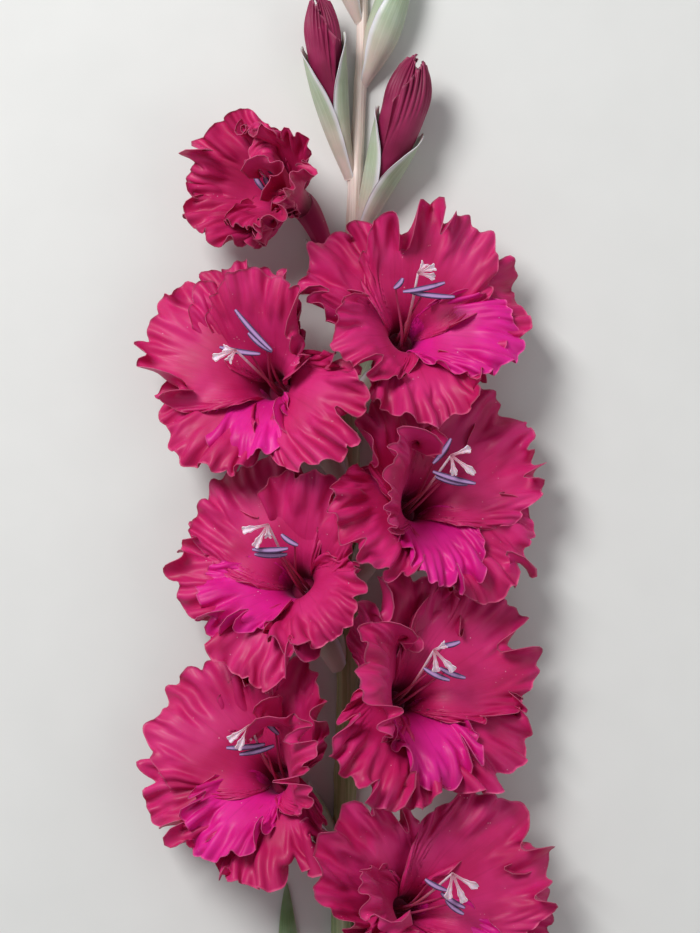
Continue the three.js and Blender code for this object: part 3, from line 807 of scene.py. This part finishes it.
def laid_open(floret, tepal, flat, height):
    """A flat tepal on a surface that opens out of the throat, rounds across and bends back at its tip."""
    length = tepal["length"] * floret.size
    share = np.clip(flat[..., 1] / length, 0, 1.1)
    across = flat[..., 0]
    fine = np.linspace(0, 1.1, 221)
    flare, recurve = (math.radians(tepal[key]) * floret.opened for key in ("flare", "recurve"))
    lean = lerp(math.radians(UPRIGHT), flare, smooth(fine, 0.02, 0.62)) + recurve * smooth(fine, 0.6, 1)
    bit = length * (fine[1] - fine[0])
    outwards = np.interp(share, fine, TUBE.throat_radius - 0.5 + np.cumsum(np.sin(lean)) * bit)
    upwards = np.interp(share, fine, -THROAT_DEPTH + np.cumsum(np.cos(lean)) * bit)
    lean = np.interp(share, fine, lean)
    height = height + tepal["lift"] * smooth(share, 0, 0.35)
    bend = lerp(1 / TUBE.throat_radius, tepal["cup"], smooth(share, 0.0, 0.45)) + 1e-6
    arced, inward = np.sin(bend * across) / bend, (1 - np.cos(bend * across)) / bend
    inward = inward + height * np.cos(bend * across)
    arced = arced - height * np.sin(bend * across)
    ray_x, ray_y = turned(tepal["angle"] if floret.side > 0 else 180 - tepal["angle"])
    x = outwards - inward * np.cos(lean)
    sideways = arced * floret.side
    z = upwards + inward * np.sin(lean)
    return floret.place(x * ray_x - sideways * ray_y, x * ray_y + sideways * ray_x, z)


def grown(start, base, excess, q):
    """Lets a sheet settle after its margin has grown longer than its middle.

    Springs of the grown lengths join its points, it resists bending, and it is pulled back to the ungrown
    shape, less and less towards the margin. excess is the share by which each row of the sheet is longer.
    """
    every, inner, outer = slice(None), slice(None, -1), slice(1, None)
    springs = [
        ((every, inner), (every, outer), GROWTH.spring),
        ((inner, every), (outer, every), GROWTH.spring),
        ((inner, inner), (outer, outer), GROWTH.brace),
        ((inner, outer), (outer, inner), GROWTH.brace),
    ]
    bends = [
        ((every, slice(None, -2)), (every, slice(1, -1)), (every, slice(2, None))),
        ((slice(None, -2), every), (slice(1, -1), every), (slice(2, None), every)),
    ]
    rests = [np.linalg.norm(base[b] - base[a], axis=-1) for a, b, _ in springs]
    added = rests[0] ** 2 * ((1 + excess[:, :-1]) ** 2 - 1)
    rests[0] = rests[0] * (1 + excess[:, :-1])
    for diagonal in (2, 3):
        rests[diagonal] = np.sqrt(rests[diagonal] ** 2 + added[:-1])
    pull = lerp(*GROWTH.hold, smooth(q, 0.15, 0.75))[:, None, None]
    points = start.copy()
    for _ in range(GROWTH.steps):
        move = pull * (base - points)
        for (a, b, stiffness), rest in zip(springs, rests):
            gap = points[b] - points[a]
            share = stiffness * (1 - rest / np.maximum(np.linalg.norm(gap, axis=-1), 1e-3))
            pulled = gap * share[..., None]
            move[a] += pulled
            move[b] -= pulled
        for low, middle, high in bends:
            bend = GROWTH.stiffness * (points[high] + points[low] - 2 * points[middle])
            move[middle] += 2 * bend
            move[low] -= bend
            move[high] -= bend
        points = points + move
    return points


def tepal_sheet(floret, tepal, seed):
    """The middle points of a tepal, its thickness, and its grain: (along the margin, foot to margin)."""
    rng = np.random.default_rng(seed)
    length, width = tepal["length"] * floret.size, tepal["width"] * floret.size
    margin, arc = tepal_outline(width, length, PETAL.columns)
    place = np.linspace(0, 1, PETAL.columns)
    foot_points = np.stack([lerp(-CLAW, CLAW, place), np.zeros_like(place)], -1)
    reach = margin - foot_points
    lobed = 1 + sum(depth * wander(rng, arc, over) for over, depth in LOBES)
    reach = reach * lerp(1, lobed, smooth(margin[:, 1] / length, 0.15, 0.45))[:, None]
    ray = np.linalg.norm(reach, axis=1)
    q = np.linspace(0, 1, PETAL.rows)

    # The margin curls over: each ray is followed by the angle it has turned through.
    curl = math.radians(CURLS.droop) * (1 + wander(rng, arc, 60)) * smooth(q, 0.8, 1)[:, None]
    stray = [
        [rng.uniform(*span) for span in (CURLS.where, CURLS.spread, CURLS.angle, CURLS.depth)]
        for _ in range(rng.integers(1, CURLS.most + 1))
    ]
    for where, spread, angle, depth in [*tepal.get("curls", ()), *stray]:
        window = np.exp(-(((place - where) / spread) ** 2))
        curl = curl + math.radians(angle) * window * smooth(q, 1 - depth, 1)[:, None]
    step = np.diff(q, prepend=0)[:, None]
    flat = foot_points + reach * np.cumsum(np.cos(curl) * step, axis=0)[..., None]
    height = ray * np.cumsum(np.sin(curl) * step, axis=0)
    base = laid_open(floret, tepal, flat, height)

    # Ruffles are sketched first, larger towards the margin, and then the grown sheet settles.
    fade = smooth(ray / length, 0.2, 0.6)
    ruffled = np.zeros_like(height)
    excess = np.zeros_like(height)
    for kind, ruffle in RUFFLES.items():
        wave = ruffle["wave"]
        phase = 2 * math.pi * arc / wave + rng.uniform(0, ANY_PHASE) + 1.4 * wander(rng, arc, 2.7 * wave)
        phase = phase + 0.9 * wander(rng, q * length, 1.6 * wave)[:, None]
        strength = fade * np.clip(0.62 + 0.5 * wander(rng, arc, 3.5 * wave), 0.05, 1.3) * tepal[kind]
        risen = q[:, None] ** ruffle["power"]
        ruffled = ruffled + ruffle["height"] * strength * risen * np.cos(phase)
        excess = excess + ruffle["excess"] * strength * risen
    start = laid_open(floret, tepal, flat, height + ruffled)
    points = grown(start, base, excess, q)
    uv = grid_grain(place, q)
    thickness = lerp(PETAL.thick, PETAL.thin, np.broadcast_to(smooth(q, 0.1, 1)[:, None], height.shape))
    return settled(nodded(points), PETAL.rest), thickness, uv


def make_tepals(floret, overrides):
    for number, (name, base) in enumerate(TEPALS.items()):
        tepal = {**base, **overrides.get(name, {})}
        middle, thickness, uv = tepal_sheet(floret, tepal, floret.seed + number)
        kind = "lip_petal" if name == "lip" else "petal"
        look = LOOKS[kind if floret.opened == 1 else "young_petal"]
        piece = f"{floret.name}_tepal_{name}"
        sheet(piece, middle, thickness, uv, look, [f"{floret.name}_perianth"])


# ---- Bracts ----


def bract(name, line, radius_at, gap, replaced, facing, wrap, length, seed, flare=1.2, blunt=2.6):
    """A pointed bract wrapped round a line.

    facing is the angle of its middle, 0 away from the stem and 90 up, wrap is how far it reaches to either
    side of that, and gap is how far it stands off radius_at.
    """
    rng = np.random.default_rng(seed)
    rows, columns = 90, 49
    v, u = np.linspace(0, 1, rows), np.linspace(-1, 1, columns)
    centre, _, out, up = line.at(v * length)
    half_angle = math.radians(wrap) * np.maximum(1 - v**blunt, 0.0) ** 0.75 + 0.02
    angle = math.radians(facing) + half_angle[:, None] * u
    lift = flare * np.abs(u) ** 3 * smooth(v, 0.15, 0.7)[:, None]
    ripple = 0.35 * wander(rng, np.linspace(0, 9, rows), 4)[:, None] * np.abs(u) ** 2
    radius = (radius_at(v * length) + gap)[:, None] + lift + ripple
    middle = (
        centre[:, None]
        + out[:, None] * (radius * np.cos(angle))[..., None]
        + up[:, None] * (radius * np.sin(angle))[..., None]
    )
    thickness = np.broadcast_to(0.9 - 0.5 * np.abs(u) ** 3, (rows, columns))
    uv = grid_grain((u + 1) / 2, v)
    sheet(name, settled(middle, 0.7), thickness, uv, LOOKS["spathe"], replaced)


def make_floret_spathe(floret):
    """Two bracts sheathe the tube: the outer one faces away from the stem, the inner one towards it."""
    line = floret.tube_line()
    replaced = [f"{floret.name}_spathe"]
    length = min(SPATHE.length * floret.size, line.length * 0.98)

    def belly(distance):
        swell = np.sin(math.pi * np.clip(distance / length, 0, 1) ** 0.8)
        return tube_radius(np.clip(distance / line.length, 0, 1)) + SPATHE.belly * swell

    name, wrap = f"{floret.name}_bract", SPATHE.wrap
    bract(f"{name}_inner", line, belly, 1.1, replaced, 170, wrap, length * 0.86, floret.seed + 31)
    bract(f"{name}_outer", line, belly, 2.2, replaced, 0, wrap, length, floret.seed + 32)


# ---- Stamens and style ----


def make_anther(name, start, end, width, replaced):
    """Two pollen sacs side by side, a little curved."""
    bow = unit(np.cross(end - start, (0, 0, 1.0))) * 0.9
    controls = [start, lerp(start, end, 0.33) + bow, lerp(start, end, 0.66) + bow, end]
    line = curve(controls, 40)
    share = np.linspace(0, 1, 26)
    angle = np.linspace(0, 2 * math.pi, 24, endpoint=False)
    sacs = 0.62 + 0.38 * np.abs(np.cos(angle)) ** 0.8
    swell = np.sin(math.pi * lerp(0.06, 0.94, share)) ** 0.45
    radius = width / 2 * swell[:, None] * sacs
    points, faces, uv = tube_mesh(rod_rings(line, share * line.length, radius, 24, 0.8))
    add_mesh(name, points, faces, uv, LOOKS["anther"], replaced)


def make_rod(name, controls, thick, thin, look, replaced):
    """A slender rod along a curve, from its thick foot to its thin tip."""
    line = curve(controls, 60)
    share = np.linspace(0, 1, 40)
    points, faces, uv = tube_mesh(rod_rings(line, share * line.length, lerp(thick, thin, share), 12))
    add_mesh(name, points, faces, uv, LOOKS[look], replaced)


def stigma_arm(name, fork, tip, seed, replaced):
    """One arm of the stigma: a narrow strip that arches over and widens into a frilled, folded end."""
    rng = np.random.default_rng(seed)
    rows, columns = 34, 17
    v, u = np.linspace(0, 1, rows), np.linspace(-1, 1, columns)
    rise = np.array([0, 0, 1.0])
    controls = [fork, lerp(fork, tip, 0.35) + rise * 2.6, lerp(fork, tip, 0.85) + rise * 2.2, tip]
    line = curve(controls, 50)
    centre, _, out, up = line.at(v * line.length)
    half = lerp(0.5, 1.7, smooth(v, 0.3, 0.85)) * np.sqrt(np.maximum(1 - smooth(v, 0.86, 1.0) * 0.9, 0.05))
    fold = 0.8 * (u**2)[None] * half[:, None]
    frill = np.sin(v * 22 + rng.uniform(0, ANY_PHASE))[:, None]
    frill = frill * np.abs(u) ** 2 * smooth(v, 0.35, 0.8)[:, None]
    middle = (
        centre[:, None]
        + out[:, None] * (half[:, None] * u + 0.3 * frill * np.sign(u))[..., None]
        + up[:, None] * (fold + 0.4 * frill)[..., None]
    )
    uv = grid_grain((u + 1) / 2, 0.6 + 0.4 * v)
    sheet(name, middle, np.full((rows, columns), 0.5), uv, LOOKS["style"], replaced)


def make_stamens(floret, anthers, fork, arms):
    """Three stamens and the style rise together out of the throat and arch over to the upper, outer side."""
    tall = lerp(0.62, 1, floret.opened) * floret.size

    def above(x, y, z):
        return floret.throat + np.array([x, y, z * tall])

    for number, (letter, (x0, y0, x1, y1)) in enumerate(zip("abc", anthers)):
        replaced = [f"{floret.name}_stamen_{letter}"]
        start, end = above(x0, y0, 25 - 2 * number), above(x1, y1, 26 - 2 * number)
        make_anther(f"{floret.name}_anther_{letter}", start, end, 3.0, replaced)
        near = min(start, end, key=lambda point: np.hypot(*(point - floret.throat)[:2]))
        held = lerp(near, start + end - near, 0.3) - np.array([0, 0, 0.8])
        angle = math.radians(120 * number + 30)
        base = floret.place(2.4 * math.cos(angle), 2.4 * math.sin(angle), -THROAT_DEPTH - 1)
        controls = [base, base + floret.axis * 20 * tall, held - floret.axis * 9 * tall, held]
        make_rod(f"{floret.name}_filament_{letter}", controls, 0.9, 0.45, "filament", replaced)

    replaced = [f"{floret.name}_style"]
    root = above(*fork, 29)
    base = floret.place(0, 0, -THROAT_DEPTH - 1)
    back = unit(root - floret.throat)
    controls = [base, base + floret.axis * 24 * tall, root - back * 12 * tall, root]
    make_rod(f"{floret.name}_style_rod", controls, 0.9, 0.6, "style", replaced)
    for number, (x, y) in enumerate(arms):
        name = f"{floret.name}_stigma_{number + 1}"
        stigma_arm(name, root, above(x, y, 27), floret.seed + 60 + number, replaced)


# ---- Buds ----


class Bud:
    """Where a bud grows, and how thick it is. show is the length of petal above its bracts."""

    def __init__(self, name, side, node, tip, width, show):
        self.name, self.width, self.show = name, width, show
        self.seed = int(name[-1]) * 1000
        root = stem_centre(node) + np.array([side * float(stem_radius(node)) * 0.5, 0, 0])
        root[2] = max(root[2], 2.7)
        end = np.array(tip, float)
        reach = np.linalg.norm(end - root)
        second = root + np.array([side * 0.12, 0.33, 0.1]) * reach
        third = end - np.array([side * 0.05, 0.33, 0.01]) * reach
        self.line = curve([root, second, third, end], 160, side)

    def radius(self, share):
        """Slim at the foot, fullest above the middle, blunt at the tip."""
        fullest = 0.78 if self.show else 0.45
        full = self.width / 2
        share = np.clip(np.asarray(share, float), 0, 1)
        rising = lerp(2.4, full, np.sin(math.pi / 2 * np.clip(share / fullest, 0, 1)) ** 1.3)
        above = np.maximum(share - fullest, 0) / (1 - fullest)
        falling = full * np.sqrt(np.maximum(0.02, 1 - above**2 * 0.98))
        return np.where(share < fullest, rising, falling)

    def radius_at(self, distance):
        return self.radius(distance / self.line.length)


def furled(bud, number, facing, span, start, end, inset):
    """One furled tepal of a bud: a sheet wound part of the way round, with a crinkled upper margin."""
    rng = np.random.default_rng(bud.seed + number)
    rows, columns = 60, 110
    v, u = np.linspace(0, 1, rows), np.linspace(-1, 1, columns)
    share = start + (end - start) * v[:, None] * (1 - 0.28 * np.abs(u) ** 2.6)
    angle = math.radians(facing) + math.radians(span / 2) * u * lerp(0.8, 1, v)[:, None]
    smoothed = np.maximum(bud.radius(share) - inset, 0.9) + 0.9 * u * smooth(v, 0.1, 0.6)[:, None]
    smoothed = smoothed - 1.6 * smooth(v, 0.75, 1)[:, None] * (1 - np.abs(u) ** 2)
    edge = np.maximum(v[:, None] ** 4, np.abs(u) ** 6 * smooth(v, 0.25, 0.8)[:, None])
    crinkled = smoothed.copy()
    for wave, tall in ((26, 1.4), (11, 0.9)):
        phase = 2 * math.pi * u * span / wave + rng.uniform(0, ANY_PHASE) + 1.3 * wander(rng, u * span, 60)
        crinkled = crinkled + tall * edge * np.sin(phase + 2.5 * v[:, None])
    centre, _, out, up = bud.line.at(share * bud.line.length)
    direction = out * np.cos(angle)[..., None] + up * np.sin(angle)[..., None]
    base = centre + direction * smoothed[..., None]
    middle = settled(grown(centre + direction * crinkled[..., None], base, 0.7 * edge, v), PETAL.rest)
    thickness = np.full((rows, columns), 0.5)
    uv = grid_grain((u + 1) / 2, lerp(0.3, 1, v))
    name, look = f"{bud.name}_tepal_{number + 1}", LOOKS["bud_petal"]
    sheet(name, middle, thickness, uv, look, [f"{bud.name}_petals"])


def make_open_bud(bud):
    """Furled petals that stand out of two bracts."""
    for number, layer in enumerate(BUD_LAYERS):
        furled(bud, number, *layer)
    name, replaced, long = f"{bud.name}_bract", [f"{bud.name}_spathe"], bud.line.length
    inner, outer = long - bud.show * 0.62, long - bud.show * 0.75
    bract(f"{name}_inner", bud.line, bud.radius_at, 0.2, replaced, 188, 112, inner, bud.seed + 31)
    bract(f"{name}_outer", bud.line, bud.radius_at, 1.0, replaced, -12, 118, outer, bud.seed + 32)


def make_closed_bud(bud):
    """Two bracts, closed over each other."""
    line, replaced, long = bud.line, [bud.name], bud.line.length
    inner, outer = dict(flare=0.2, blunt=6), dict(flare=0.3, blunt=4)
    name, seed = f"{bud.name}_bract", bud.seed
    bract(f"{name}_inner", line, bud.radius_at, -1.2, replaced, 180, 150, long, seed + 31, **inner)
    bract(f"{name}_outer", line, bud.radius_at, -0.2, replaced, 0, 130, long * 0.96, seed + 32, **outer)


# ---- The scene ----


def make_floor():
    mesh = bpy.data.meshes.new("floor")
    mesh.from_pydata([(-6, -6, 0), (6, -6, 0), (6, 6, 0), (-6, 6, 0)], [], [(0, 1, 2, 3)])
    look = Look("floor", Roughness=0.9)
    fleck = look.noise(look.place(), 30.0, 2.0)
    colour = look.mix(fleck, (0.72, 0.72, 0.70, 1), (0.76, 0.76, 0.74, 1))
    mesh.materials.append(look.set(Base_Color=colour))
    floor = bpy.data.objects.new("floor", mesh)
    bpy.context.scene.collection.objects.link(floor)


def add_light(name, place, aim, size, power):
    light = bpy.data.lights.new(name, "AREA")
    light.size, light.energy = size, power
    lamp = bpy.data.objects.new(name, light)
    bpy.context.scene.collection.objects.link(lamp)
    lamp.location = place
    lamp.rotation_euler = (Vector(aim) - Vector(place)).to_track_quat("-Z", "Y").to_euler()


def light_and_camera():
    scene = bpy.context.scene
    add_light("key", (-0.8, 1.0, 1.4), (0, 0.05, 0), 0.7, 30)
    add_light("fill", (1.3, -0.4, 1.1), (0, 0, 0), 1.2, 4)
    world = bpy.data.worlds.new("studio")
    world.use_nodes = True
    sky = world.node_tree.nodes["Background"].inputs
    sky["Color"].default_value = (0.95, 0.97, 1.0, 1)
    sky["Strength"].default_value = 0.32
    scene.world = world
    scene.view_settings.view_transform = "Standard"
    camera = bpy.data.objects.new("camera", bpy.data.cameras.new("camera"))
    scene.collection.objects.link(camera)
    camera.location = row((0, CAMERA.y, CAMERA.height))
    camera.data.lens = CAMERA.lens
    scene.camera = camera


make_stem()
for leaf in LEAVES:
    make_leaf(**leaf)
for one in FLORETS:
    floret = Floret(**one)
    make_tube(floret)
    make_tepals(floret, OWN_TEPALS[floret.name])
    make_floret_spathe(floret)
    make_stamens(floret, *HEARTS[floret.name])
for bud in BUDS:
    (make_open_bud if bud["show"] else make_closed_bud)(Bud(**bud))
make_floor()
light_and_camera()
